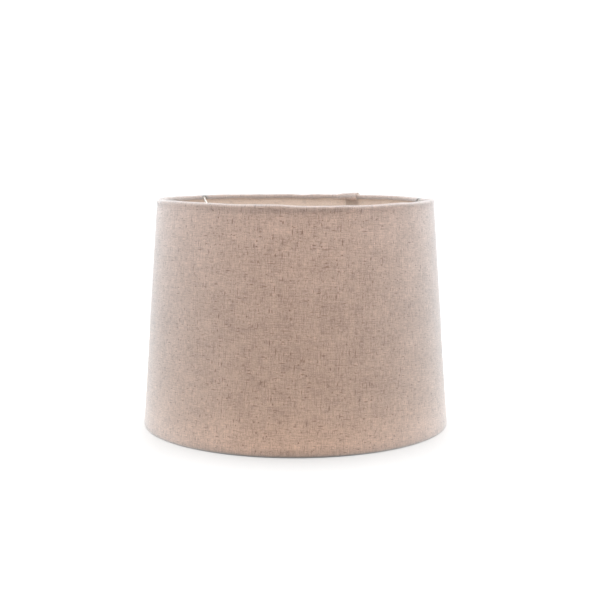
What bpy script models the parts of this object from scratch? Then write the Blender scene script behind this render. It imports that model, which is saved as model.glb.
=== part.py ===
"""Tapered drum lamp shade: laminated linen on wire rings, with a dropped three-arm spider.

Metres, +Z up. The origin is the centre of the bottom rim, where the shade stands, and -Y is the
front. The linen is one sheet: it laps over itself at the back right, and its top and bottom edges
roll over the wire rings, down inside them and back under them to the liner.
"""
import bpy
import bmesh
from math import ceil, cos, pi, radians, sin, tan
from mathutils import Vector

MM = 0.001

# Driving dimensions
HEIGHT = 205.0 * MM
BOTTOM_RADIUS = 140.0 * MM          # outside of the linen, at the floor
TOP_RADIUS = 125.0 * MM             # outside of the linen, at the top rim
LINEN = 0.5 * MM
LINER = 0.4 * MM
TAPE = 0.2 * MM
RING_WIRE = 2.5 * MM
ARM_WIRE = 2.2 * MM
GAP = 0.3 * MM                      # glue line between two pieces

# Lap seam, as angles anticlockwise from +X seen from above
CUT_EDGE = radians(59.7)            # the outer end of the sheet, the edge that shows
TONGUE_END = radians(66.3)          # the inner end of the sheet, under the outer one
LAP_LIFT_END = radians(66.8)        # from here the outer end comes down to the liner
LAP_RAMP_END = radians(70.3)
LAP_LIFT = LINEN + GAP + TAPE + GAP
TONGUE_FOOT = 10.0 * MM             # the tongue is trimmed clear of the bottom hem
TAPE_INSET = 0.5 * MM
TAPE_END_GAP = 12.0 * MM

# Dropped spider
ARM_ANGLES = (radians(137.8), radians(17.0), radians(257.0))
ARM_SLOPE = radians(53.0)           # of the leg next to the top ring, below the horizontal
SPIDER_DROP = 30.0 * MM             # top rim down to the middle of the fitter ring
ARM_BEND_RADIUS = 9.0 * MM
NOTCH_WIDTH = 6.6 * MM              # slot in the hem that an arm comes out of
NOTCH_CROWN = 3.6 * MM              # width of the slot's upper part
FITTER_BORE = 42.0 * MM
FITTER_OUTSIDE = 56.0 * MM
FITTER_PLATE = 2.0 * MM
FITTER_CHAMFER = 0.3 * MM

# Facets
TURN_STEPS = 64
FITTER_STEPS = 48
HALF_FACET = pi / 8                 # a wire and the hem round it have eight sides
BEND_STEPS = 6

# Worked out
HEM_RADIUS = RING_WIRE / 2 + GAP + LINEN
RING_INSET = LINEN + GAP + LINER + GAP + RING_WIRE / 2
TOP_RING_Z = HEIGHT - HEM_RADIUS
BOTTOM_RING_Z = HEM_RADIUS
SPIDER_Z = HEIGHT - SPIDER_DROP
FULL_TURN = 2 * pi


def clear_scene():
    for obj in list(bpy.data.objects):
        bpy.data.objects.remove(obj, do_unlink=True)


def make_material(name, colour, roughness, metallic=0.0):
    material = bpy.data.materials.new(name)
    material.use_nodes = True
    shader = material.node_tree.nodes["Principled BSDF"]
    shader.inputs["Base Color"].default_value = (*colour, 1.0)
    shader.inputs["Roughness"].default_value = roughness
    shader.inputs["Metallic"].default_value = metallic
    material.diffuse_color = (*colour, 1.0)
    return material


def add_object(name, data, material):
    obj = bpy.data.objects.new(name, data)
    bpy.context.collection.objects.link(obj)
    data.materials.append(material)
    return obj


def finish_mesh(name, bm, material):
    bmesh.ops.recalc_face_normals(bm, faces=bm.faces)
    mesh = bpy.data.meshes.new(name)
    bm.to_mesh(mesh)
    bm.free()
    mesh.shade_smooth()
    mesh.set_sharp_from_angle(angle=radians(50.0))
    return add_object(name, mesh, material)


def wall_radius(z):
    """Outside of the linen wall at height z, away from the lap."""
    return BOTTOM_RADIUS - (BOTTOM_RADIUS - TOP_RADIUS) * z / HEIGHT


def turn_point(radius, angle, z):
    return Vector((radius * cos(angle), radius * sin(angle), z))


def sheet_solid(name, angles, sections, material, missing=lambda station, segment: False):
    """A thin sheet swept round the axis, as one closed solid.

    sections[k] holds the pairs (outer face, inner face) of (radius, z) across the sheet at
    angles[k]. A cell between two angles and two pairs is left out where missing says so.
    """
    bm = bmesh.new()
    cells = {
        (k, i)
        for k in range(len(angles) - 1)
        for i in range(len(sections[0]) - 1)
        if not missing(k, i)
    }
    corners = {}

    def corner(k, i, side):
        key = (k, i, side)
        if key not in corners:
            radius, z = sections[k][i][side]
            corners[key] = bm.verts.new(turn_point(radius, angles[k], z))
        return corners[key]

    def add_face(*keys):
        bm.faces.new([corner(*key) for key in keys])

    for k, i in sorted(cells):
        for side in (0, 1):
            add_face((k, i, side), (k + 1, i, side), (k + 1, i + 1, side), (k, i + 1, side))
        if (k - 1, i) not in cells:
            add_face((k, i, 0), (k, i + 1, 0), (k, i + 1, 1), (k, i, 1))
        if (k + 1, i) not in cells:
            add_face((k + 1, i, 0), (k + 1, i + 1, 0), (k + 1, i + 1, 1), (k + 1, i, 1))
        if (k, i - 1) not in cells:
            add_face((k, i, 0), (k + 1, i, 0), (k + 1, i, 1), (k, i, 1))
        if (k, i + 1) not in cells:
            add_face((k, i + 1, 0), (k + 1, i + 1, 0), (k + 1, i + 1, 1), (k, i + 1, 1))
    return finish_mesh(name, bm, material)


def spread(stops, longest):
    """The stops, with even steps no longer than longest between them."""
    angles = [stops[0]]
    for start, end in zip(stops, stops[1:]):
        count = ceil((end - start) / longest)
        angles += [start + (end - start) * n / count for n in range(1, count + 1)]
    return angles


def notch_stops():
    """Angles where the slots for the arms start, narrow and end, from CUT_EDGE round."""
    stops = []
    for arm in ARM_ANGLES:
        angle = (arm - CUT_EDGE) % FULL_TURN + CUT_EDGE
        half = NOTCH_WIDTH / 2 / TOP_RADIUS
        crown = NOTCH_CROWN / 2 / TOP_RADIUS
        stops += [angle - half, angle - crown, angle + crown, angle + half]
    return sorted(stops)


def lap_lift(angle):
    """How far the sheet stands off, to pass over its own inner end."""
    if angle < LAP_LIFT_END:
        return LAP_LIFT
    if angle < LAP_RAMP_END:
        return LAP_LIFT * (LAP_RAMP_END - angle) / (LAP_RAMP_END - LAP_LIFT_END)
    return 0.0


def hem_section(ring_z, up, lift):
    """The rolled edge, from the tucked-in end out to the wall, as pairs (outer, inner).

    up is 1 at the top rim and -1 at the bottom one. The flats of the roll stand HEM_RADIUS off the
    middle of the ring, so the lowest flat of the bottom roll is a level face.
    """
    ring_radius = wall_radius(ring_z) - RING_INSET
    reach = (HEM_RADIUS + lift, HEM_RADIUS + lift - LINEN)
    tuck_end = wall_radius(ring_z) - LINEN - GAP - LINER - GAP
    pairs = [tuple((tuck_end, ring_z - up * r) for r in reach)]
    for facet in (11, 9, 7, 5):
        angle = facet * HALF_FACET
        pairs.append(tuple(
            (ring_radius + r / cos(HALF_FACET) * cos(angle), ring_z + up * r / cos(HALF_FACET) * sin(angle))
            for r in reach
        ))
    out = (RING_INSET + lift, RING_INSET + lift - LINEN)
    pairs.append(tuple((ring_radius + o * tan(HALF_FACET), ring_z + up * r) for o, r in zip(out, reach)))
    shoulder = [ring_z + up * r * tan(HALF_FACET) for r in reach]
    pairs.append(tuple((wall_radius(z) - RING_INSET + o, z) for o, z in zip(out, shoulder)))
    return pairs


def linen_cover(material):
    tongue_start = CUT_EDGE + FULL_TURN - GAP / BOTTOM_RADIUS
    stops = [CUT_EDGE, LAP_LIFT_END, LAP_RAMP_END, *notch_stops(), tongue_start, TONGUE_END + FULL_TURN]
    angles = spread(stops, FULL_TURN / TURN_STEPS)
    sections = []
    for angle in angles:
        lift = lap_lift(angle)
        foot = tuple((wall_radius(TONGUE_FOOT) + lift - t, TONGUE_FOOT) for t in (0.0, LINEN))
        top = hem_section(TOP_RING_Z, 1, lift)
        bottom = hem_section(BOTTOM_RING_Z, -1, 0.0)
        sections.append([*top, foot, *reversed(bottom)])

    first_below_foot = len(top)
    slot_segments = 3               # tuck, underside and inner side of the roll
    crown_segments = 4              # and the shoulder above them

    def missing(k, i):
        middle = (angles[k] + angles[k + 1]) / 2
        if middle > tongue_start:
            return i >= first_below_foot
        off_arm = min(abs((middle - arm + pi) % FULL_TURN - pi) for arm in ARM_ANGLES) * TOP_RADIUS
        if off_arm < NOTCH_CROWN / 2:
            return i < crown_segments
        return off_arm < NOTCH_WIDTH / 2 and i < slot_segments

    return sheet_solid("linen_cover", angles, sections, material, missing)


def backing_liner(material):
    """The stiff sheet, butted end to end under the lap."""
    overhang = 0.4 * MM             # past the middle of each ring
    low = BOTTOM_RING_Z - overhang
    high = TOP_RING_Z + overhang
    outside = LINEN + GAP
    section = [
        ((wall_radius(z) - outside, z), (wall_radius(z) - outside - LINER, z)) for z in (high, low)
    ]
    butt_gap = GAP / BOTTOM_RADIUS
    stops = [TONGUE_END + butt_gap, *notch_stops(), CUT_EDGE + FULL_TURN, TONGUE_END + FULL_TURN]
    angles = spread(stops, FULL_TURN / TURN_STEPS)
    return sheet_solid("backing_liner", angles, [section] * len(angles), material)


def seam_tape(material):
    section = [
        ((wall_radius(z) + GAP + TAPE, z), (wall_radius(z) + GAP, z))
        for z in (HEIGHT - TAPE_END_GAP, TAPE_END_GAP)
    ]
    inset = TAPE_INSET / TOP_RADIUS
    angles = spread([CUT_EDGE + inset, TONGUE_END - inset], FULL_TURN / TURN_STEPS)
    return sheet_solid("seam_tape", angles, [section] * len(angles), material)


def turned_ring(name, section, angles, material):
    """A closed section of (radius, z) carried all the way round."""
    bm = bmesh.new()
    loops = [[bm.verts.new(turn_point(r, angle, z)) for r, z in section] for angle in angles]
    for this, after in zip(loops, loops[1:] + loops[:1]):
        for i in range(len(section)):
            j = (i + 1) % len(section)
            bm.faces.new([this[i], this[j], after[j], after[i]])
    return finish_mesh(name, bm, material)


def wire_ring(name, ring_z, material):
    ring_radius = wall_radius(ring_z) - RING_INSET
    reach = RING_WIRE / 2 / cos(HALF_FACET)
    section = [
        (ring_radius + reach * cos(facet * HALF_FACET), ring_z + reach * sin(facet * HALF_FACET))
        for facet in range(1, 16, 2)
    ]
    stops = [CUT_EDGE, LAP_LIFT_END, *notch_stops(), CUT_EDGE + FULL_TURN]
    return turned_ring(name, section, spread(stops, FULL_TURN / TURN_STEPS)[:-1], material)


def fitter_ring(material):
    """The flat ring that the lampholder clamps, with broken edges."""
    inner, outer = FITTER_BORE / 2, FITTER_OUTSIDE / 2
    low, high = SPIDER_Z - FITTER_PLATE / 2, SPIDER_Z + FITTER_PLATE / 2
    edge = FITTER_CHAMFER
    section = [
        (inner, low + edge), (inner + edge, low), (outer - edge, low), (outer, low + edge),
        (outer, high - edge), (outer - edge, high), (inner + edge, high), (inner, high - edge),
    ]
    angles = [FULL_TURN * n / FITTER_STEPS for n in range(FITTER_STEPS)]
    return turned_ring("fitter_ring", section, angles, material)


def arm_path():
    """Middle line of an arm as (radius, z): down from the top ring, round a bend, level to the hub."""
    ring_radius = wall_radius(TOP_RING_Z) - RING_INSET
    off_ring = RING_WIRE / 2 + GAP
    start = (ring_radius - off_ring * cos(ARM_SLOPE), TOP_RING_Z - off_ring * sin(ARM_SLOPE))
    corner = (start[0] - (start[1] - SPIDER_Z) / tan(ARM_SLOPE), SPIDER_Z)
    centre = (corner[0] - ARM_BEND_RADIUS * tan(ARM_SLOPE / 2), SPIDER_Z + ARM_BEND_RADIUS)
    bend = []
    for step in range(BEND_STEPS + 1):
        angle = ARM_SLOPE * (1 - step / BEND_STEPS)
        bend.append((centre[0] + ARM_BEND_RADIUS * sin(angle), centre[1] - ARM_BEND_RADIUS * cos(angle)))
    return [start, *bend, (FITTER_OUTSIDE / 2 + GAP, SPIDER_Z)]


def spider_arm(name, angle, material):
    curve = bpy.data.curves.new(name, "CURVE")
    curve.dimensions = "3D"
    curve.bevel_depth = ARM_WIRE / 2
    curve.bevel_resolution = 3
    curve.use_fill_caps = True
    path = arm_path()
    spline = curve.splines.new("POLY")
    spline.points.add(len(path) - 1)
    for point, (radius, z) in zip(spline.points, path):
        point.co = (radius, 0.0, z, 1.0)
    arm = add_object(name, curve, material)
    arm.rotation_euler.z = angle
    return arm


def build():
    clear_scene()
    linen = make_material("linen", (0.50, 0.40, 0.33), 0.9)
    liner = make_material("liner", (0.86, 0.84, 0.80), 0.45)
    tape = make_material("tape", (0.80, 0.76, 0.66), 0.5)
    coated_wire = make_material("coated_wire", (0.85, 0.84, 0.82), 0.3)
    linen_cover(linen)
    backing_liner(liner)
    seam_tape(tape)
    wire_ring("top_ring", TOP_RING_Z, coated_wire)
    wire_ring("bottom_ring", BOTTOM_RING_Z, coated_wire)
    fitter_ring(coated_wire)
    for number, angle in enumerate(ARM_ANGLES, start=1):
        spider_arm(f"spider_arm_{number}", angle, coated_wire)


build()
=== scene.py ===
"""Looks of the lamp shade: slubbed linen over a milky liner, rolled hems, lap seam and coated wire.

Metres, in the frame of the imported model: +Z up, the shade stands on z = 0 and -Y is its front.
"""
from math import atan2, cos, hypot, pi, radians, sin, tan

import bpy
import numpy as np
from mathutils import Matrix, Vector


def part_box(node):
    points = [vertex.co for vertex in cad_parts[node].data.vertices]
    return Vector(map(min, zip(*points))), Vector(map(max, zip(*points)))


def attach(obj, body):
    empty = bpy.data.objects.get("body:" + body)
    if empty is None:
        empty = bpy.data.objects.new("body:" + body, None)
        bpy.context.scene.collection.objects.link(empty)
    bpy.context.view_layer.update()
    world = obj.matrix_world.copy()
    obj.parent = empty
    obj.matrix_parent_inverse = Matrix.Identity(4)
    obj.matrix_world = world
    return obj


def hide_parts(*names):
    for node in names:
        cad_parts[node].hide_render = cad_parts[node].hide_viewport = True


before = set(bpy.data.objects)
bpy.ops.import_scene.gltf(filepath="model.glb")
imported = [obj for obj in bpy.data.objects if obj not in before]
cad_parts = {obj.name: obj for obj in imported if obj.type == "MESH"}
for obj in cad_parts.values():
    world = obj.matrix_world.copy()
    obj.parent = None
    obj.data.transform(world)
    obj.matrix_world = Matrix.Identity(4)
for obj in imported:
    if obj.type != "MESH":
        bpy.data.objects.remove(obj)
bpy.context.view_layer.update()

MM = 0.001
TURN = 2 * pi


# ---- Sizes, from the frame ------------------------------------------------------------------


def radii(node):
    """Smallest and largest distance of a CAD node's corners from the axis."""
    reach = [hypot(v.co.x, v.co.y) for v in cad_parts[node].data.vertices]
    return min(reach), max(reach)


def wire_size(node):
    """Radius and height of a wire ring's middle line, and the wire's own radius."""
    low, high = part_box(node)
    return sum(radii(node)) / 2, (low.z + high.z) / 2, (high.z - low.z) / 2


TOP_RING_RADIUS, TOP_RING_Z, WIRE = wire_size("top_ring")
BOTTOM_RING_RADIUS, BOTTOM_RING_Z, _ = wire_size("bottom_ring")
FITTER_BORE, FITTER_OUTSIDE = radii("fitter_ring")
FITTER_LOW, FITTER_HIGH = (corner.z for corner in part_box("fitter_ring"))
SPIDER_Z = (FITTER_LOW + FITTER_HIGH) / 2
ARMS = ("spider_arm_1", "spider_arm_2", "spider_arm_3")

# The same layers and lap as in the CAD model, and the arms' slope, bend and wire
LINEN = 0.5 * MM
LINER = 0.4 * MM
TAPE = 0.2 * MM
GAP = 0.3 * MM
HEM_RADIUS = WIRE + GAP + LINEN
RING_INSET = LINEN + GAP + LINER + GAP + WIRE
RIM_Z = TOP_RING_Z + HEM_RADIUS
CUT_EDGE = radians(59.7)
TONGUE_END = radians(66.3)
LAP_LIFT_END = radians(66.8)
LAP_RAMP_END = radians(70.3)
TONGUE_FOOT = 10.0 * MM
ARM_SLOPE = radians(53.0)
ARM_BEND_RADIUS = 9.0 * MM
ARM_WIRE = 2.2 * MM

FRONT = radians(270.0)


def wall_radius(z):
    """Outside of the linen wall at height z."""
    slope = (BOTTOM_RING_RADIUS - TOP_RING_RADIUS) / (TOP_RING_Z - BOTTOM_RING_Z)
    return BOTTOM_RING_RADIUS + RING_INSET - slope * (z - BOTTOM_RING_Z)


SLANT = hypot(BOTTOM_RING_RADIUS - TOP_RING_RADIUS, TOP_RING_Z - BOTTOM_RING_Z)
CONE_SINE = (BOTTOM_RING_RADIUS - TOP_RING_RADIUS) / SLANT
APEX = (BOTTOM_RING_RADIUS + RING_INSET) / CONE_SINE     # slant from the cone's tip to the bottom ring
FAR_OUT = 0.8 * TOP_RING_RADIUS        # only an arm's outer end is past this


def arm_angle(node):
    """Direction of a spider arm, from the corners of its CAD node far from the axis."""
    far = [v.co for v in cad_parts[node].data.vertices if hypot(v.co.x, v.co.y) > FAR_OUT]
    return atan2(sum(p.y for p in far), sum(p.x for p in far)) % TURN


ARM_ANGLES = {node: arm_angle(node) for node in ARMS}


# ---- Helpers --------------------------------------------------------------------------------


def smoothstep(low, high, x):
    """0 up to low and 1 from high, with an even curve between them."""
    t = np.clip((x - low) / (high - low), 0.0, 1.0)
    return t * t * (3.0 - 2.0 * t)


def wander(angles, seed, waves):
    """A smooth closed random curve of unit spread. waves is the fewest and the most in a turn."""
    rng = np.random.default_rng(seed)
    counts = np.arange(waves[0], waves[1] + 1)
    sizes = rng.normal(size=counts.size) / np.sqrt(counts.size / 2)
    phases = rng.uniform(0.0, TURN, counts.size)
    turns = counts[:, None] * np.asarray(angles)[None, :] + phases[:, None]
    return (sizes[:, None] * np.cos(turns)).sum(0)


def near(x, centre, reach):
    """1 at the centre, fading to nothing at about twice the reach to each side."""
    return np.exp(-((x - centre) / reach) ** 2)


def near_angle(angles, centre, spread):
    """1 at the centre, fading to nothing at about twice the spread to each side, as a column."""
    off = ((angles - centre) % TURN + pi) % TURN - pi
    return np.exp(-off ** 2 / spread ** 2)[:, None]


SHARP_EDGE = radians(50.0)


def add_piece(name, data, node):
    """Puts a piece in the scene, in place of a CAD node."""
    piece = bpy.data.objects.new(name, data)
    bpy.context.collection.objects.link(piece)
    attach(piece, "root")
    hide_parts(node)
    return piece


def sheet_mesh(name, outer, inner, cloth, solid, materials, **marks):
    """A thin closed sheet from grids of points on its two faces.

    solid says which cells between the grids' stations and rows are there. cloth holds each point's
    place on the flat cut, and becomes the UV map of that name. Each of marks becomes a value on the
    points, for the materials. The first material is for the outer face and the edges, the last one
    for the inner face.
    """
    stations, rows = outer.shape[:2]
    front = np.arange(stations * rows).reshape(stations, rows)
    back = front + stations * rows

    def quads(grid):
        ring = [grid[:-1, :-1], grid[:-1, 1:], grid[1:, 1:], grid[1:, :-1]]
        return np.stack([corner[solid] for corner in ring], 1)

    padded = np.pad(solid, 1)
    edges = []
    # The four sides of a cell: where the padded grid holds its neighbour there, and the two corners
    for neighbour, ends in (
        ((slice(None, -2), slice(1, -1)), ((0, 0), (0, 1))),
        ((slice(2, None), slice(1, -1)), ((1, 1), (1, 0))),
        ((slice(1, -1), slice(None, -2)), ((1, 0), (0, 0))),
        ((slice(1, -1), slice(2, None)), ((0, 1), (1, 1))),
    ):
        k, i = np.nonzero(solid & ~padded[neighbour])
        one, other = [(k + station, i + row) for station, row in ends]
        edges.append(np.stack([front[one], back[one], back[other], front[other]], 1))
    faces = [quads(front), quads(back)[:, ::-1], *edges]
    counts = [len(part) for part in faces]
    faces = np.concatenate(faces)
    used, faces = np.unique(faces, return_inverse=True)
    faces = faces.reshape(-1, 4)

    mesh = bpy.data.meshes.new(name)
    points = np.concatenate([outer.reshape(-1, 3), inner.reshape(-1, 3)])[used]
    mesh.from_pydata(points.tolist(), [], faces.tolist())
    flat = np.concatenate([cloth.reshape(-1, 2)] * 2)[used].astype(np.float32)
    mesh.uv_layers.new(name="cloth").data.foreach_set("uv", flat[faces.reshape(-1)].ravel())
    for mark, grid in marks.items():
        values = np.concatenate([grid.reshape(-1)] * 2)[used].astype(np.float32)
        mesh.attributes.new(mark, "FLOAT", "POINT").data.foreach_set("value", values)
    for material in materials:
        mesh.materials.append(material)
    slots = np.zeros(len(faces), np.int32)
    slots[counts[0]:counts[0] + counts[1]] = len(materials) - 1
    mesh.polygons.foreach_set("material_index", slots)
    mesh.validate()
    mesh.shade_smooth()
    mesh.set_sharp_from_angle(angle=SHARP_EDGE)
    return mesh


def on_turn(radius, angles, z):
    """Grid of points from grids of radius and height and the stations' angles."""
    turn = np.broadcast_to(np.asarray(angles)[:, None], radius.shape)
    return np.stack([radius * np.cos(turn), radius * np.sin(turn), z], 2)


def cloth_place(angles, rise, centre):
    """Place on the flat cut, an arc of a wide ring, of the point rise up the slant at each angle."""
    turn = (np.asarray(angles)[:, None] - centre) * CONE_SINE
    reach = APEX - rise
    return np.stack([reach * np.sin(turn), APEX - reach * np.cos(turn)], 2)


def face_normals(grid):
    """Unit normals of a grid of points, out of the shade on its wall."""
    along = np.gradient(grid, axis=0)
    down = np.gradient(grid, axis=1)
    normal = np.cross(down, along)
    return normal / np.linalg.norm(normal, axis=2, keepdims=True)


# ---- Materials ------------------------------------------------------------------------------


SEED_STEP = (17.3, 5.9)                # each seed's part of the noise is this far from the one before


class Nodes:
    """A material's node tree, built with short calls."""

    def __init__(self, name):
        self.material = bpy.data.materials.new(name)
        self.material.use_nodes = True
        self.tree = self.material.node_tree
        self.shader = self.tree.nodes["Principled BSDF"]
        self.output = self.tree.nodes["Material Output"]

    def add(self, kind, *inputs, **settings):
        """A node with the given settings, and its sockets in order set to values or linked."""
        node = self.tree.nodes.new(kind)
        for key, value in settings.items():
            setattr(node, key, value)
        for socket, value in zip(node.inputs, inputs):
            self.put(socket, value)
        return node

    def put(self, socket, value):
        if isinstance(value, bpy.types.NodeSocket):
            self.tree.links.new(value, socket)
        else:
            socket.default_value = value

    def math(self, operation, *inputs):
        return self.add("ShaderNodeMath", *inputs, operation=operation).outputs[0]

    def vector(self, operation, *inputs, output="Vector"):
        return self.add("ShaderNodeVectorMath", *inputs, operation=operation).outputs[output]

    def mark(self, name):
        """One of the values that sheet_mesh puts on the points."""
        return self.add("ShaderNodeAttribute", attribute_name=name).outputs["Fac"]

    def cloth(self):
        """Place on the flat cloth, in millimetres."""
        flat = self.add("ShaderNodeUVMap", uv_map="cloth").outputs[0]
        return self.vector("MULTIPLY", flat, (1.0 / MM, 1.0 / MM, 0.0))

    def noise(self, place, scale, detail, dimensions="3D"):
        """Noise from 0 to 1."""
        node = self.add("ShaderNodeTexNoise", noise_dimensions=dimensions)
        self.put(node.inputs["Vector"], place)
        node.inputs["Scale"].default_value = scale
        node.inputs["Detail"].default_value = detail
        return node.outputs[0]

    def blotches(self, place, width, height, detail=0.0, seed=0.0):
        """Flat noise with patches width by height, in the units of place. Each seed has its own part."""
        shift = (seed * SEED_STEP[0], seed * SEED_STEP[1], seed)
        spread = self.vector("MULTIPLY_ADD", place, (1.0 / width, 1.0 / height, 1.0), shift)
        return self.noise(spread, 1.0, detail, "2D")

    def ramp(self, value, low, high, to_low=0.0, to_high=1.0):
        """The value's run from low to high, turned into one from to_low to to_high."""
        node = self.add("ShaderNodeMapRange", value, low, high, to_low, to_high)
        node.clamp = True
        return node.outputs[0]

    def blend(self, factor, first, second, how="MIX"):
        """Two colours mixed. The node has sockets for other types too: the numbers are the colours'."""
        node = self.add("ShaderNodeMix", data_type="RGBA", blend_type=how)
        self.put(node.inputs[0], factor)
        self.put(node.inputs[6], first)
        self.put(node.inputs[7], second)
        return node.outputs[2]

    def grey(self, value):
        return self.add("ShaderNodeCombineColor", value, value, value).outputs[0]

    def bump(self, height, distance, strength):
        node = self.add("ShaderNodeBump")
        self.put(node.inputs["Height"], height)
        node.inputs["Distance"].default_value = distance
        node.inputs["Strength"].default_value = strength
        self.put(self.shader.inputs["Normal"], node.outputs[0])

    def let_through(self, share, glow):
        """Mixes in the light that comes through a sheet, tinted by glow."""
        through = self.add("ShaderNodeBsdfTranslucent", glow)
        mixed = self.add("ShaderNodeMixShader", share, self.shader.outputs[0], through.outputs[0])
        self.put(self.output.inputs["Surface"], mixed.outputs[0])

    def set(self, **values):
        """Fixed values on the shader's own sockets, by name with _ for a space."""
        for key, value in values.items():
            self.shader.inputs[key.replace("_", " ")].default_value = value


# Colours of the cloth, and how its tone changes
LINEN_COLOUR = (0.266, 0.171, 0.131, 1.0)
LINEN_GLOW = (0.95, 0.76, 0.62, 1.0)
SHEEN_TINT = (0.87, 0.95, 1.0, 1.0)
FLECK_COLOUR = (0.105, 0.048, 0.022, 1.0)
FLECK_GLOW = (0.45, 0.26, 0.15, 1.0)
FLECK_SHARE = 0.84
# Painted shade: its colour, and that of the light let through where it lies
PAINTED_SHADE_COLOUR = (0.088, 0.064, 0.050, 1.0)
PAINTED_SHADE_GLOW = (0.30, 0.25, 0.21, 1.0)
# Painted highlights: their colour, and that of the light let through where they lie
PAINTED_HIGHLIGHT_COLOUR = (0.34, 0.315, 0.31, 1.0)
PAINTED_HIGHLIGHT_GLOW = (0.82, 0.78, 0.76, 1.0)
WARM_LOW = (1.02, 0.985, 0.91, 1.0)    # towards the bottom the cloth is yellower
WARM_FROM = (30.0, 190.0)              # millimetres up the cloth
EVEN_TONE = 0.97                       # half way up
# Painted light, paler near the rims: millimetres up the cloth where it starts and is full, and by how
# much
PAINTED_LIGHT_BY_HEIGHT = ((36.0, 2.0, 0.205), (110.0, 185.0, 0.10), (197.0, 203.0, 0.12))

# How much of the tone each channel takes: dark threads and dark patches are browner
THREAD_HUE = (0.90, 1.0, 1.08)
CLOUD_HUE = (0.27, 0.33, 0.40)

# The weave, in millimetres, and how much each part of it adds to the tone
THREAD_WIDTH = 0.80
THREAD_RUN = 5.0                       # how far a thread keeps its tone
THREAD_SHARE = 0.63
UNDER_SHARE = 0.35                     # what shows of a thread where it passes under
GRAIN_SIZE = 0.95
GRAIN_SHARE = 0.53
CLOUD_SIZE = (24.0, 20.0)
NOISE_MEAN = 0.5
# Slow drift of the yarn: width and height in millimetres, detail, seed and share
YARN_DRIFT = ((0.9, 38.0, 0.0, 16, 0.22), (38.0, 0.9, 0.0, 17, 0.22), (7.0, 7.0, 1.0, 18, 0.20))
TONE_OFFSET = 0.28                     # most of the drift's mean
# Slubs and specks: width and height in millimetres, seed, and the noise where one starts and is full
SLUBS = (
    (5.5, 1.3, 6, 0.78, 0.90), (1.3, 6.5, 7, 0.77, 0.89), (2.2, 2.2, 8, 0.79, 0.91),
    (11.0, 1.1, 19, 0.86, 0.92), (1.1, 13.0, 20, 0.86, 0.92),
)
THREAD_RELIEF = 0.15 * MM
SLUB_RELIEF = 0.6                      # a slub's height, as threads go

# Light through the sheets, and the other surfaces
LINEN_PASSES = 0.27                    # share of the light that goes on into the cloth
BACKS_PASS = 0.9                       # the glued sides do little but pass it on
LINEN_BACK_COLOUR = (0.7, 0.6, 0.52, 1.0)
LINEN_BACK_GLOW = (0.95, 0.95, 0.95, 1.0)
LINER_COLOUR = (0.70, 0.575, 0.495, 1.0)
LINER_GLOW = (0.95, 0.93, 0.90, 1.0)
LINER_PASSES = 0.34
# Painted shade: the liner is darker where two layers of cloth lie behind it and let less light through
LAP_SHADE_TONE = 0.72                       # tone of the liner where two layers of cloth lie behind it
TAPE_COLOUR = (0.80, 0.76, 0.66, 1.0)
COAT_COLOUR = (0.54, 0.52, 0.49, 1.0)
COAT_PEEL = 0.03 * MM


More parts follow.
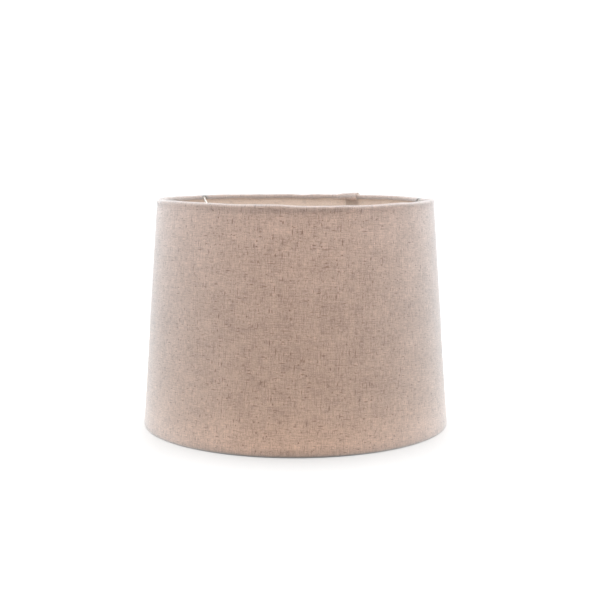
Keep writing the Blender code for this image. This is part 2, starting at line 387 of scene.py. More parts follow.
def linen_material():
    """Plain-woven linen: uneven threads both ways, dark slubs, a soft bloom at grazing angles."""
    n = Nodes("linen")
    place = n.cloth()
    warp = n.math("SUBTRACT", n.blotches(place, THREAD_WIDTH, THREAD_RUN, seed=1), NOISE_MEAN)
    weft = n.math("SUBTRACT", n.blotches(place, THREAD_RUN, THREAD_WIDTH, seed=2), NOISE_MEAN)
    over = n.ramp(n.blotches(place, THREAD_WIDTH, THREAD_WIDTH, seed=3), 0.42, 0.58)
    warp = n.math("MULTIPLY", warp, n.ramp(over, 0.0, 1.0, 1.0, UNDER_SHARE))
    weft = n.math("MULTIPLY", weft, n.ramp(over, 0.0, 1.0, UNDER_SHARE, 1.0))
    grain = n.math("SUBTRACT", n.blotches(place, GRAIN_SIZE, GRAIN_SIZE, detail=1.0, seed=4), NOISE_MEAN)
    cloudy = n.math("SUBTRACT", n.blotches(place, *CLOUD_SIZE, detail=2.0, seed=5), NOISE_MEAN)
    tone = 0.0
    for part, share in ((warp, THREAD_SHARE), (weft, THREAD_SHARE), (grain, GRAIN_SHARE)):
        tone = n.math("MULTIPLY_ADD", part, share, tone)
    for width, height, detail, seed, share in YARN_DRIFT:
        tone = n.math("MULTIPLY_ADD", n.blotches(place, width, height, detail, seed), share, tone)
    tone = n.math("SUBTRACT", tone, TONE_OFFSET)
    grown = n.vector("MULTIPLY_ADD", n.grey(tone), THREAD_HUE, (1.0, 1.0, 1.0))
    grown = n.vector("MULTIPLY_ADD", n.grey(cloudy), CLOUD_HUE, grown)

    tip = (0.0, APEX / MM, 0.0)
    up = n.math("SUBTRACT", APEX / MM, n.vector("DISTANCE", place, tip, output="Value"))
    # painted light: the cloth is made paler near both rims
    painted_light_gain = EVEN_TONE
    for low, high, change in PAINTED_LIGHT_BY_HEIGHT:
        painted_light_gain = n.math("ADD", n.ramp(up, low, high, 0.0, change), painted_light_gain)
    shade = n.vector("MULTIPLY", grown, n.grey(painted_light_gain))
    shade = n.blend(n.ramp(up, *WARM_FROM, 1.0, 0.0), shade, WARM_LOW, "MULTIPLY")

    slubs = 0.0
    for width, height, seed, low, high in SLUBS:
        slubs = n.math("MAXIMUM", n.ramp(n.blotches(place, width, height, seed=seed), low, high), slubs)
    dark = n.math("MULTIPLY", slubs, FLECK_SHARE)
    # The two marks paint shade and highlights into the colour and into the light let through
    stain, crest = n.mark("stain"), n.mark("crest")
    colour = n.blend(dark, n.blend(1.0, LINEN_COLOUR, shade, "MULTIPLY"), FLECK_COLOUR)
    colour = n.blend(crest, n.blend(stain, colour, PAINTED_SHADE_COLOUR), PAINTED_HIGHLIGHT_COLOUR)
    glow = n.blend(dark, n.blend(1.0, LINEN_GLOW, shade, "MULTIPLY"), FLECK_GLOW)
    glow = n.blend(crest, n.blend(stain, glow, PAINTED_SHADE_GLOW), PAINTED_HIGHLIGHT_GLOW)
    n.put(n.shader.inputs["Base Color"], colour)
    n.set(Roughness=0.95, Specular_IOR_Level=0.15)
    n.set(Sheen_Weight=0.85, Sheen_Roughness=0.68, Sheen_Tint=SHEEN_TINT)
    n.let_through(LINEN_PASSES, glow)
    relief = n.math("ADD", n.math("ADD", warp, weft), n.math("MULTIPLY", slubs, SLUB_RELIEF))
    n.bump(relief, THREAD_RELIEF, 0.6)
    return n.material


def linen_back_material():
    """The glued side of the cloth, which mostly lets light on to the liner."""
    n = Nodes("linen_back")
    tone = n.ramp(n.blotches(n.cloth(), 0.9, 0.9, detail=1.0, seed=9), 0.2, 0.8, 0.8, 1.0)
    n.put(n.shader.inputs["Base Color"], n.blend(1.0, LINEN_BACK_COLOUR, n.grey(tone), "MULTIPLY"))
    n.set(Roughness=0.95, Specular_IOR_Level=0.1)
    n.let_through(BACKS_PASS, LINEN_BACK_GLOW)
    return n.material


def liner_back_material():
    """The side of the sheet that the cloth is glued to: it only passes light on."""
    n = Nodes("liner_back")
    haze = n.ramp(n.blotches(n.cloth(), 5.0, 5.0, detail=2.0, seed=15), 0.3, 0.7, 0.90, 0.95)
    n.put(n.shader.inputs["Base Color"], n.grey(haze))
    n.set(Roughness=0.6)
    n.let_through(BACKS_PASS, n.grey(haze))
    return n.material


def liner_material():
    """Milky sheet with the weave of the linen behind it showing through, and painted shade over the lap.
    """
    n = Nodes("liner_sheet")
    place = n.cloth()
    grain = n.ramp(n.blotches(place, 1.3, 1.3, detail=1.0, seed=11), 0.2, 0.8, 0.84, 1.10)
    cloudy = n.ramp(n.blotches(place, 30.0, 24.0, detail=2.0, seed=12), 0.3, 0.7, 0.96, 1.03)
    slubs = n.ramp(n.blotches(place, 7.0, 2.2, seed=21), 0.62, 0.85, 1.0, 0.80)
    # painted shade over the lap
    double = n.ramp(n.mark("stain"), 0.0, 1.0, 1.0, LAP_SHADE_TONE)
    tone = n.math("MULTIPLY", n.math("MULTIPLY", grain, cloudy), n.math("MULTIPLY", double, slubs))
    gloss = n.blotches(place, 6.0, 6.0, detail=2.0, seed=13)
    n.put(n.shader.inputs["Base Color"], n.blend(1.0, LINER_COLOUR, n.grey(tone), "MULTIPLY"))
    n.put(n.shader.inputs["Roughness"], n.ramp(gloss, 0.2, 0.8, 0.38, 0.52))
    n.set(Specular_IOR_Level=0.4, Sheen_Weight=0.6, Sheen_Roughness=0.5)
    n.let_through(LINER_PASSES, LINER_GLOW)
    return n.material


def tape_material():
    """Yellowish clear tape, a little cloudy."""
    n = Nodes("adhesive_tape")
    at = n.add("ShaderNodeTexCoord").outputs["Object"]
    place = n.vector("MULTIPLY", at, (1.0 / MM, 1.0 / MM, 1.0 / MM))
    haze = n.ramp(n.blotches(place, 3.0, 3.0, detail=2.0, seed=14), 0.3, 0.7, 0.9, 1.0)
    n.put(n.shader.inputs["Base Color"], n.blend(1.0, TAPE_COLOUR, n.grey(haze), "MULTIPLY"))
    n.set(Roughness=0.5)
    return n.material


def coated_material():
    """White powder coat with a faint orange peel."""
    n = Nodes("powder_coat")
    at = n.add("ShaderNodeTexCoord").outputs["Object"]
    dust = n.noise(at, 60.0, 3.0)
    tone = n.ramp(dust, 0.3, 0.7, 0.93, 1.0)
    n.put(n.shader.inputs["Base Color"], n.blend(1.0, COAT_COLOUR, n.grey(tone), "MULTIPLY"))
    n.put(n.shader.inputs["Roughness"], n.ramp(dust, 0.3, 0.7, 0.30, 0.42))
    n.set(Specular_IOR_Level=0.5)
    n.bump(n.noise(at, 900.0, 1.0), COAT_PEEL, 0.4)
    return n.material


# ---- Linen cover ----------------------------------------------------------------------------


# The grid: stations round the sheet and rows along it
STATION_STEP = radians(0.8)
CLOSEST_STATIONS = radians(0.05)
ROLL_ROWS = 15
SHOULDER_ROWS = 6
HEM_ROWS = ROLL_ROWS + SHOULDER_ROWS
INSIDE_ROWS = ROLL_ROWS - 3            # the roll's rows short of its crown
TOP_ROWS = (0.9, 1.8, 2.6, 3.4, 4.2, 5.2, 6.4, 8.0, 10.0, 13.0, 18.0, 26.0)  # millimetres below the ring
LOW_ROWS = (1.8, 3.4, 5.2, 10.0, 13.0, 18.0, 26.0)     # and above the bottom one
MIDDLE_ROWS = 10
HEM_CORNER = 0.55                      # under 1: the bottom hem is pressed squarer than an ellipse
TUCK = RING_INSET - LINEN - GAP - LINER - GAP      # from under the ring's middle out to the liner
ROLL_LENGTH = TUCK + pi * HEM_RADIUS               # tucked end, round the inside, to the crown

# The notches that the arms come out of, with painted shade round their edge
NOTCH_HALF_WIDTH = 3.4 * MM
NOTCH_HEIGHT = 0.80                    # of the roll's length, from its tucked end
NOTCH_FINE_REACH = 5.0 * MM            # stations stand close together this far to each side
NOTCH_FINE_STEP = 0.25 * MM
# how far the painted shade reaches from a notch's edge
NOTCH_SHADE_REACH = 1.8 * MM

# The lap: the flap stands a little proud of the tongue
LAP_TRIM = 0.50                        # it stops this far up the roll, to lie flatter
LAP_CURL = 0.9 * MM                    # the cut edge's corner stands up
LAP_BLEND = 12.0 * MM                  # its lift grows to the rim's over this height
WALL_LAP_LIFT = LINEN + GAP
RIM_LAP_LIFT = LINEN + GAP + TAPE + GAP

# The rim's height: millimetres at the cut edge, then steps round the turn as degrees and millimetres
RIM_START = -1.0
RIM_STEPS = (
    (86, 95, 1.0), (185, 205, 0.8), (236, 250, -0.9), (264, 270, -0.7), (288, 294, -0.4), (300, 318, 1.5),
    (320, 330, 0.4), (350, 380, -1.7),
)
RIM_WANDER = 0.22
RIM_BEND_FROM = 70.0 * MM              # the wall starts to follow the rim this far below it,
RIM_BEND_TO = 8.0 * MM                 # and follows it fully from here up

# The wall under the top roll, in millimetres: the crease and the bead over it
CREASE_AT, CREASE_WIDTH = 6.2, 2.6     # below the rim
CREASE_DEPTH, CREASE_WANDER, CREASE_FRONT = 0.30, 0.12, 0.45     # even, uneven, more at the front
CREASE_SPREAD = radians(26.0)
BEAD_AT, BEAD_WIDTH = 2.2, 1.9
BEAD_HEIGHT = 0.28 * MM
LOW_WANDER = 0.25                      # of the wall, in millimetres, at its foot and half way up
MIDDLE_WANDER = 0.2

# Puckers across the rolls, in millimetres: how much shows on the outside, and what the inside adds
FINE_PUCKER, FINE_OUTSIDE = 0.05, 0.35
BROAD_PUCKER, BROAD_OUTSIDE, BROAD_INSIDE = 0.09, 0.4, 0.8
PUCKER_FADE = (0.45 * ROLL_ROWS, 1.1 * ROLL_ROWS)      # rows
LOW_PUCKER = 0.6                       # of that, at the bottom

# Painted shade: the foot and hem at the front, and the crease
# Painted shadow along the foot at the front, where the hem stands on the floor
FOOT_SHADOW_SHARE = 1.20                     # clipped at 1, so that the line at the foot has some width
FOOT_SHADOW_REACH = 1.5 * MM
FOOT_SHADOW_SPREAD = radians(60.0)
HEM_SHADE = 0.20
HEM_SPREAD = radians(40.0)
HEM_SHADE_FADE = (0.8 * ROLL_LENGTH, ROLL_LENGTH)      # heights
CREASE_SHADE = 0.26
CREASE_SHADE_CENTRE = radians(259.0)
CREASE_SHADE_AT = 5.2 * MM             # below the rim
CREASE_SHADE_REACH = 2.4 * MM

# Painted highlights: the top fold, the roll's inner side and the foot of the wall away from the front
CREST_SHARE = 0.45
CREST_REACH = 2.1 * MM
INSIDE_SHARE = 0.65
INSIDE_AT = 3.0 * MM                   # below the crown
INSIDE_REACH = 2.0 * MM
FOOT_SHARE = 0.24
FOOT_REACH = 24.0 * MM
FOOT_SPREAD = radians(50.0)


def cover_angles():
    """Stations round the sheet, from its outer cut edge to its inner end, close together at the arms."""
    end = TONGUE_END + TURN
    tongue_start = CUT_EDGE + TURN - GAP / BOTTOM_RING_RADIUS
    even = np.arange(CUT_EDGE, end, STATION_STEP)
    reach = NOTCH_FINE_REACH / TOP_RING_RADIUS
    fine = np.arange(-reach, reach, NOTCH_FINE_STEP / TOP_RING_RADIUS)
    near_arms = []
    for angle in ARM_ANGLES.values():
        angle = (angle - CUT_EDGE) % TURN + CUT_EDGE
        even = even[np.abs(even - angle) > reach]
        near_arms.append(angle + fine)
    stops = [LAP_LIFT_END, LAP_RAMP_END, tongue_start, end]
    angles = np.unique(np.concatenate([even, stops, *near_arms]))
    keep = np.concatenate([[True], np.diff(angles) > CLOSEST_STATIONS])
    keep[np.isin(angles, [tongue_start, end])] = True
    return angles[keep], tongue_start


def off_arm(angles):
    """Distance along the rim to the nearest spider arm."""
    turns = [np.abs((angles - arm + pi) % TURN - pi) for arm in ARM_ANGLES.values()]
    return np.min(turns, axis=0) * TOP_RING_RADIUS


def lap_lift(angles, full):
    """How far the outer end of the sheet stands off its inner end."""
    return full * (1.0 - smoothstep(LAP_LIFT_END, LAP_RAMP_END, angles))


def rim_wave(angles):
    """The rim's height wanders: it was rolled by hand, in short lengths."""
    angles = (np.asarray(angles) - CUT_EDGE) % TURN + CUT_EDGE
    height = RIM_START + RIM_WANDER * wander(angles, seed=3, waves=(2, 9))
    for first, last, change in RIM_STEPS:
        height = height + change * smoothstep(radians(first), radians(last), angles)
    return height * MM


def under_rim(angles, z):
    """Radial offset of the wall under the top roll: the crease, deepest at the front."""
    uneven = CREASE_DEPTH + CREASE_WANDER * wander(angles, seed=5, waves=(3, 24))[:, None]
    depth = (uneven + CREASE_FRONT * near_angle(angles, FRONT, CREASE_SPREAD)) * MM
    below = (RIM_Z - z) / MM
    bead = BEAD_HEIGHT * near(below, BEAD_AT, BEAD_WIDTH)
    return bead - depth * near(below, CREASE_AT, CREASE_WIDTH)


def wall_wander(angles, z):
    """Shallow unevenness of the laminated wall."""
    share = (z - BOTTOM_RING_Z) / (TOP_RING_Z - BOTTOM_RING_Z)
    bow = np.sin(pi * np.clip(share, 0.0, 1.0))
    low = LOW_WANDER * wander(angles, seed=7, waves=(2, 6))[:, None] * (1.0 - share)
    middle = MIDDLE_WANDER * wander(angles, seed=8, waves=(2, 7))[:, None] * bow
    return (low + middle) * MM


def wall_heights():
    """Rows down the wall, close together under each hem, with one at the tongue's foot."""
    top = TOP_RING_Z - np.array(TOP_ROWS) * MM
    bottom = BOTTOM_RING_Z + np.array(LOW_ROWS) * MM
    middle = np.linspace(top[-1], bottom[-1], MIDDLE_ROWS + 2)[1:-1]
    heights = np.concatenate([top, middle, bottom, [TONGUE_FOOT]])
    return np.unique(heights)[::-1]


def hem_rows(angles, start, ring_radius, up, lift):
    """Rolled hem as grids of radius, height and length up the cloth, from the tucked end to the wall.

    start is where the cloth begins at each station, as a length from the tucked end: more than 0
    leaves a notch.
    """
    ring_z = TOP_RING_Z if up > 0 else BOTTOM_RING_Z
    start, lift = start[:, None], lift[:, None]

    # The roll, by the length of cloth gone since the tucked end
    reach = HEM_RADIUS + lift
    length = TUCK + pi * reach
    gone = start + np.linspace(0.0, 1.0, ROLL_ROWS) * (length - start)
    turn = 1.5 * pi - np.maximum(gone - TUCK, 0.0) / reach
    out = np.where(gone < TUCK, TUCK - gone, reach * np.cos(turn))
    rise = reach * np.sin(turn)

    # The shoulder, a quarter of an ellipse from the crown out to the wall
    quarter = (pi / 4) * (reach + RING_INSET + lift)
    share = np.arange(1, SHOULDER_ROWS + 1) / SHOULDER_ROWS
    corner = 1.0 if up > 0 else HEM_CORNER
    shoulder_out = (RING_INSET + lift) * np.sin(share * pi / 2) ** corner
    shoulder_rise = reach * np.cos(share * pi / 2) ** corner
    z = ring_z + up * np.concatenate([rise, shoulder_rise], 1)
    radius = ring_radius + np.concatenate([out, shoulder_out], 1)
    beyond = np.concatenate([quarter + length - gone, quarter * (1.0 - share)], 1)
    return radius, z, beyond


def hem_pucker(angles, seed):
    """Small folds across the roll, stronger on its inner side: one value for each row of the hem."""
    fine = FINE_PUCKER * wander(angles, seed, waves=(60, 150))[:, None]
    broad = BROAD_PUCKER * wander(angles, seed + 1, waves=(12, 45))[:, None]
    rows = np.arange(HEM_ROWS)[None, :]
    inner = 1.0 - smoothstep(*PUCKER_FADE, rows)
    return (fine * (FINE_OUTSIDE + inner) + broad * (BROAD_OUTSIDE + BROAD_INSIDE * inner)) * MM


def cover_grid(angles):
    """The cover's outer face, in rows from the tucked end of the top roll to that of the bottom one.

    Gives the points, their lengths up the slant from the bottom ring, their heights before the
    puckers, 1 on the rows between the two rolls, and the top hem's lengths past the wall.
    """
    arch = np.sqrt(np.clip(1.0 - (off_arm(angles) / NOTCH_HALF_WIDTH) ** 2, 0.0, 1.0))
    trimmed = LAP_TRIM * lap_lift(angles, 1.0)
    start = np.maximum(arch * NOTCH_HEIGHT, trimmed) * ROLL_LENGTH
    curl = LAP_CURL * (1.0 - smoothstep(CUT_EDGE, TONGUE_END, angles))
    nothing = np.zeros_like(angles)
    top = hem_rows(angles, start, TOP_RING_RADIUS, 1, lap_lift(angles, RIM_LAP_LIFT) + curl)
    low = hem_rows(angles, nothing, BOTTOM_RING_RADIUS, -1, nothing)

    z = np.tile(wall_heights(), (angles.size, 1))
    under_hem = smoothstep(TOP_RING_Z - LAP_BLEND, TOP_RING_Z, z)
    above_hem = smoothstep(BOTTOM_RING_Z, TONGUE_FOOT, z)
    lift = WALL_LAP_LIFT + (RIM_LAP_LIFT - WALL_LAP_LIFT) * under_hem
    wall = wall_radius(z) + lap_lift(angles, 1.0)[:, None] * lift * above_hem
    rise = (z - BOTTOM_RING_Z) * SLANT / (TOP_RING_Z - BOTTOM_RING_Z)

    radius = np.concatenate([top[0], wall, low[0][:, ::-1]], 1)
    height = np.concatenate([top[1], z, low[1][:, ::-1]], 1)
    along = np.concatenate([SLANT + top[2], rise, -low[2][:, ::-1]], 1)
    on_wall = np.zeros(radius.shape[1])
    on_wall[ROLL_ROWS:-ROLL_ROWS] = 1.0
    radius = radius + on_wall * (under_rim(angles, height) + wall_wander(angles, height))
    follow = smoothstep(RIM_Z - RIM_BEND_FROM, RIM_Z - RIM_BEND_TO, height)
    height = height + rim_wave(angles)[:, None] * follow

    outer = on_turn(radius, angles, height)
    pucker = np.zeros_like(radius)
    pucker[:, :HEM_ROWS] = hem_pucker(angles, seed=21)
    pucker[:, -HEM_ROWS:] = LOW_PUCKER * hem_pucker(angles, seed=31)[:, ::-1]
    outer = outer + face_normals(outer) * pucker[:, :, None]
    outer[:, :, 2] = np.maximum(outer[:, :, 2], 0.0)
    return outer, along, height, on_wall, top[2]


def notch_stain(angles, past_wall):
    """How much painted shade darkens the cloth round the edge of a notch, from 0 to 1, over the rows of
    the top hem.
    """
    up_roll = np.median(past_wall[:, 0]) - past_wall
    ring = np.hypot(off_arm(angles)[:, None] / NOTCH_HALF_WIDTH, up_roll / (NOTCH_HEIGHT * ROLL_LENGTH))
    return np.exp(-((ring - 1.0) * NOTCH_HALF_WIDTH / NOTCH_SHADE_REACH) ** 2)


def cover_stain(angles, z, height, on_wall, past_wall):
    """How much painted shade darkens the cloth, from 0 to 1: at the foot, under the crease, on the hem
    and round the notches.
    """
    foot_shadow = FOOT_SHADOW_SHARE * near_angle(angles, FRONT, FOOT_SHADOW_SPREAD) * near(z, 0.0, FOOT_SHADOW_REACH)
    crease = near(RIM_Z - height, CREASE_SHADE_AT, CREASE_SHADE_REACH) * on_wall
    crease = CREASE_SHADE * near_angle(angles, CREASE_SHADE_CENTRE, CREASE_SPREAD) * crease
    on_hem = 1.0 - smoothstep(*HEM_SHADE_FADE, z)
    hem = HEM_SHADE * near_angle(angles, FRONT, HEM_SPREAD) * on_hem
    stain = np.minimum(foot_shadow + crease + hem, 1.0)
    stain[:, :HEM_ROWS] = np.maximum(stain[:, :HEM_ROWS], notch_stain(angles, past_wall))
    return stain


def cover_crest(angles, z):
    """How much painted highlight lightens the cloth, from 0 to 1."""
    down = z[:, :HEM_ROWS].max(1)[:, None] - z
    crest = CREST_SHARE * near(down, 0.0, CREST_REACH)
    inside = INSIDE_SHARE * near(down, INSIDE_AT, INSIDE_REACH)
    crest[:, :INSIDE_ROWS] = np.maximum(crest, inside)[:, :INSIDE_ROWS]
    at_side = 1.0 - near_angle(angles, FRONT, FOOT_SPREAD)
    return crest + FOOT_SHARE * at_side * near(z, 0.0, FOOT_REACH)


def linen_cover(linen, back):
    """The one sheet of linen, from under the top ring over its roll and down to under the bottom one."""
    angles, tongue_start = cover_angles()
    outer, along, height, on_wall, past_wall = cover_grid(angles)
    inner = outer - face_normals(outer) * LINEN
    z = outer[:, :, 2]
    stain = cover_stain(angles, z, height, on_wall, past_wall)
    crest = cover_crest(angles, z)

    solid = np.ones((outer.shape[0] - 1, outer.shape[1] - 1), bool)
    foot = HEM_ROWS + int(np.argmin(np.abs(wall_heights() - TONGUE_FOOT)))
    solid[np.searchsorted(angles, tongue_start):, foot:] = False
    place = cloth_place(angles, along, (CUT_EDGE + TONGUE_END + TURN) / 2)
    mesh = sheet_mesh(
        "linen_cover_cloth", outer, inner, place, solid, [linen, back], stain=stain, crest=crest
    )
    cover = add_piece("linen_cover_cloth", mesh, "linen_cover")
    return cover


# ---- Liner, tape and wires ------------------------------------------------------------------


LINER_STATIONS = 451
LINER_OVERHANG = 0.4 * MM              # past the middle of each ring
LAP_SHOW_EDGE = radians(0.4)
TAPE_INSET = radians(0.3)
TAPE_FOOT = 0.05 * MM                  # glue between the tongue and the tape
TAPE_STATIONS = 12
TAPE_ROWS = 24
WIRE_SIDES = 16
WIRE_STEPS = 288
PLATE_STEPS = 160
PLATE_EDGE = 0.5 * MM
PLATE_EDGE_STEPS = 4
BEND_STEPS = 16
WELD = 0.9                             # an arm starts this share of the ring wire's radius off its middle
PLATE_WELD = 0.2 * MM                  # and ends this far inside the plate


def backing_liner(material, back):
    """The stiff sheet under the linen, butted end to end under the lap."""
    butt = GAP / BOTTOM_RING_RADIUS
    angles = np.linspace(TONGUE_END + butt, TONGUE_END + TURN, LINER_STATIONS)
    top, bottom = TOP_RING_Z + LINER_OVERHANG, BOTTOM_RING_Z - LINER_OVERHANG
    heights = np.concatenate([[top], wall_heights(), [bottom]])
    z = np.tile(heights, (angles.size, 1))
    shift = np.minimum(under_rim(angles, z), 0.0) + wall_wander(angles, z)
    radius = wall_radius(z) - LINEN - GAP + shift
    outer = on_turn(radius, angles, z)
    inner = on_turn(radius - LINER, angles, z)
    rise = (z - BOTTOM_RING_Z) * SLANT / (TOP_RING_Z - BOTTOM_RING_Z)
    solid = np.ones((angles.size - 1, heights.size - 1), bool)
    place = cloth_place(angles, rise, pi + TONGUE_END)
    # The liner's mark paints shade where the lap lies behind it
    at_lap = smoothstep(CUT_EDGE + TURN - LAP_SHOW_EDGE, CUT_EDGE + TURN + LAP_SHOW_EDGE, angles)
    stain = np.broadcast_to(at_lap[:, None], z.shape)
    mesh = sheet_mesh("liner_sheet", outer, inner, place, solid, [back, material], stain=stain)
    return add_piece("liner_sheet", mesh, "backing_liner")


def seam_tape(material):
    """The double-sided tape between the two ends of the linen."""
    low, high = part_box("seam_tape")
    angles = np.linspace(CUT_EDGE + TAPE_INSET, TONGUE_END - TAPE_INSET, TAPE_STATIONS)
    z = np.tile(np.linspace(high.z, low.z, TAPE_ROWS), (angles.size, 1))
    radius = wall_radius(z) + wall_wander(angles, z) + TAPE_FOOT
    outer = on_turn(radius + TAPE, angles, z)
    inner = on_turn(radius, angles, z)
    solid = np.ones((TAPE_STATIONS - 1, TAPE_ROWS - 1), bool)
    mesh = sheet_mesh("lap_tape", outer, inner, cloth_place(angles, z, pi), solid, [material])
    return add_piece("lap_tape", mesh, "seam_tape")


def turned(name, section, steps, material, wave=None):
    """A closed section of (radius, z) carried round the axis, raised by wave at each angle."""
    points = []
    faces = []
    count = len(section)
    for k in range(steps):
        angle = TURN * k / steps
        rise = float(wave([angle])[0]) if wave else 0.0
        points += [(r * cos(angle), r * sin(angle), z + rise) for r, z in section]
        for i in range(count):
            here, beside = k * count + i, k * count + (i + 1) % count
            after = (k + 1) % steps * count - k * count
            faces.append((here, beside, beside + after, here + after))
    mesh = bpy.data.meshes.new(name)
    mesh.from_pydata(points, [], faces)
    mesh.materials.append(material)
    mesh.validate()
    mesh.flip_normals()
    mesh.shade_smooth()
    mesh.set_sharp_from_angle(angle=SHARP_EDGE)
    return mesh


def wire_ring(name, node, ring_radius, ring_z, material, wave=None):
    sides = [TURN * k / WIRE_SIDES for k in range(WIRE_SIDES)]
    section = [(ring_radius + WIRE * cos(side), ring_z + WIRE * sin(side)) for side in sides]
    return add_piece(name, turned(name, section, WIRE_STEPS, material, wave), node)


def fitter_plate(material):
    """The flat ring that the lampholder clamps, with rounded edges."""
    outside, inside = FITTER_OUTSIDE - PLATE_EDGE, FITTER_BORE + PLATE_EDGE
    high, low = FITTER_HIGH - PLATE_EDGE, FITTER_LOW + PLATE_EDGE
    section = []
    for quarter, (r, z) in enumerate(((outside, high), (inside, high), (inside, low), (outside, low))):
        for k in range(PLATE_EDGE_STEPS + 1):
            angle = quarter * pi / 2 + pi / 2 * k / PLATE_EDGE_STEPS
            section.append((r + PLATE_EDGE * cos(angle), z + PLATE_EDGE * sin(angle)))
    plate = turned("fitter_plate", section, PLATE_STEPS, material)
    return add_piece("fitter_plate", plate, "fitter_ring")


def arm_path(rise):
    """Middle line of an arm as (radius, z): down from the top ring, round the bend, in to the plate.

    rise is how far the ring stands over its even height there.
    """
    off = WIRE * WELD
    radius, z = TOP_RING_RADIUS - off * cos(ARM_SLOPE), TOP_RING_Z - off * sin(ARM_SLOPE)
    foot = radius - (z - SPIDER_Z) / tan(ARM_SLOPE)
    centre = (foot - ARM_BEND_RADIUS * tan(ARM_SLOPE / 2), SPIDER_Z + ARM_BEND_RADIUS)
    bend = []
    for step in range(BEND_STEPS + 1):
        angle = ARM_SLOPE * (1 - step / BEND_STEPS)
        bend.append((centre[0] + ARM_BEND_RADIUS * sin(angle), centre[1] - ARM_BEND_RADIUS * cos(angle)))
    return [(radius, z + rise), *bend, (FITTER_OUTSIDE - PLATE_WELD, SPIDER_Z)]


def spider_arm(node, angle, material):
    """A round wire along the arm's path, which follows the rim up or down at its outer end."""
    name = node.replace("spider", "wire")
    curve = bpy.data.curves.new(name, "CURVE")
    curve.dimensions = "3D"
    curve.bevel_depth = ARM_WIRE / 2
    curve.bevel_resolution = 6
    curve.use_fill_caps = True
    path = arm_path(float(rim_wave([angle])[0]))
    spline = curve.splines.new("POLY")
    spline.points.add(len(path) - 1)
    for point, (radius, z) in zip(spline.points, path):
        point.co = (radius * cos(angle), radius * sin(angle), z, 1.0)
    spline.use_smooth = True
    curve.materials.append(material)
    return add_piece(name, curve, node)


# ---- Studio ---------------------------------------------------------------------------------


WHITE = (1.0, 1.0, 1.0, 1.0)
FRONT_LIGHT = 0.75                     # strength of the white room, from the front to the back
BACK_LIGHT = 1.58
BACKDROP = 1.1                         # and of what the camera sees of it
OVERHEAD = (0.0, -0.06, 0.55)
OVERHEAD_SIZE = 0.7
OVERHEAD_POWER = 3.4
TABLE_LIGHT = (0.0, 0.0, 0.5 * MM)
TABLE_LIGHT_SIZE = 0.40
TABLE_LIGHT_POWER = 0.33
LIT_POINT = Vector((0.0, 0.0, 0.15))
FLOOR_RADIUS = 0.6
FLOOR_SIDES = 96
FLOOR_TONE = 0.60
DIM_SPOT = Vector((0.0, -0.075, 0.0))  # the lit table glows less and less towards here
FLOOR_GLOW = ((0.06, 0.0), (0.12, 0.12), (0.16, 0.30), (0.23, 0.8))   # metres from it, and strength
CAMERA_PLACE = (4.1 * MM, -1.051, 0.249)
CAMERA_DOWN = radians(7.44)
CAMERA_LENS = 69.0


def softbox(name, place, size, power):
    """A round soft light that points at the shade."""
    lamp = bpy.data.lights.new(name, "AREA")
    lamp.shape = "DISK"
    lamp.size = size
    lamp.energy = power
    box = bpy.data.objects.new(name, lamp)
    box.location = place
    box.visible_camera = False
    box.rotation_euler = (LIT_POINT - box.location).to_track_quat("-Z", "Y").to_euler()
    bpy.context.scene.collection.objects.link(box)


def white_room():
    """A white room, brighter behind the shade, with an even backdrop for the camera."""
    world = bpy.data.worlds.new("white_room")
    bpy.context.scene.world = world
    world.use_nodes = True
    nodes, links = world.node_tree.nodes, world.node_tree.links
    room = nodes["Background"]
    room.inputs["Color"].default_value = WHITE
    way = nodes.new("ShaderNodeTexCoord")
    split = nodes.new("ShaderNodeSeparateXYZ")
    links.new(way.outputs["Generated"], split.inputs[0])
    behind = nodes.new("ShaderNodeMapRange")
    behind.inputs["From Min"].default_value = -1.0
    behind.inputs["From Max"].default_value = 1.0
    behind.inputs["To Min"].default_value = FRONT_LIGHT
    behind.inputs["To Max"].default_value = BACK_LIGHT
    links.new(split.outputs["Y"], behind.inputs["Value"])
    links.new(behind.outputs[0], room.inputs["Strength"])
    backdrop = nodes.new("ShaderNodeBackground")
    backdrop.inputs["Color"].default_value = WHITE
    backdrop.inputs["Strength"].default_value = BACKDROP
    seen = nodes.new("ShaderNodeLightPath")
    mix = nodes.new("ShaderNodeMixShader")
    links.new(seen.outputs["Is Camera Ray"], mix.inputs[0])
    links.new(room.outputs[0], mix.inputs[1])
    links.new(backdrop.outputs[0], mix.inputs[2])
    links.new(mix.outputs[0], nodes["World Output"].inputs["Surface"])


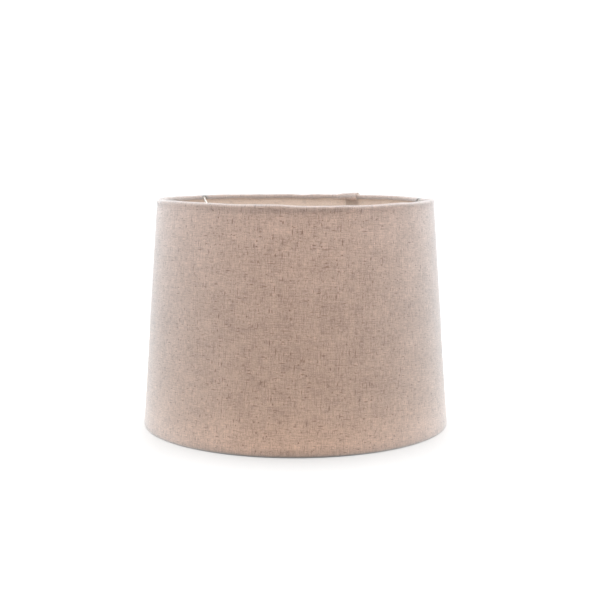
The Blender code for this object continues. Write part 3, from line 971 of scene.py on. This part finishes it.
def white_table():
    """A round floor that glows a little, less so round the foot of the shade."""
    n = Nodes("white_table")
    n.set(Base_Color=(FLOOR_TONE, FLOOR_TONE, FLOOR_TONE, 1.0), Roughness=1.0, Specular_IOR_Level=0.0)
    n.set(Emission_Color=WHITE)
    at = n.add("ShaderNodeTexCoord").outputs["Object"]
    out = n.vector("DISTANCE", at, DIM_SPOT, output="Value")
    glow = FLOOR_GLOW[0][1]
    for (first, before), (last, after) in zip(FLOOR_GLOW, FLOOR_GLOW[1:]):
        glow = n.math("ADD", n.ramp(out, first, last, 0.0, after - before), glow)
    n.put(n.shader.inputs["Emission Strength"], glow)

    mesh = bpy.data.meshes.new("floor")
    turns = [TURN * k / FLOOR_SIDES for k in range(FLOOR_SIDES)]
    rim = [(FLOOR_RADIUS * cos(turn), FLOOR_RADIUS * sin(turn), 0.0) for turn in turns]
    mesh.from_pydata(rim, [], [tuple(range(FLOOR_SIDES))])
    mesh.materials.append(n.material)
    floor = bpy.data.objects.new("floor", mesh)
    bpy.context.scene.collection.objects.link(floor)


def studio():
    scene = bpy.context.scene
    scene.view_settings.view_transform = "Standard"
    white_room()
    softbox("overhead", OVERHEAD, OVERHEAD_SIZE, OVERHEAD_POWER)
    softbox("light_table", TABLE_LIGHT, TABLE_LIGHT_SIZE, TABLE_LIGHT_POWER)
    white_table()
    camera = bpy.data.cameras.new("camera")
    camera.sensor_width = 36.0
    camera.lens = CAMERA_LENS
    view = bpy.data.objects.new("camera", camera)
    view.location = CAMERA_PLACE
    view.rotation_euler = (radians(90.0) - CAMERA_DOWN, 0.0, 0.0)
    scene.collection.objects.link(view)
    scene.camera = view


def build():
    coat = coated_material()
    wire_ring("wire_top", "top_ring", TOP_RING_RADIUS, TOP_RING_Z, coat, rim_wave)
    wire_ring("wire_bottom", "bottom_ring", BOTTOM_RING_RADIUS, BOTTOM_RING_Z, coat)
    linen_cover(linen_material(), linen_back_material())
    backing_liner(liner_material(), liner_back_material())
    seam_tape(tape_material())
    fitter_plate(coat)
    for node, angle in ARM_ANGLES.items():
        spider_arm(node, angle, coat)
    studio()


build()
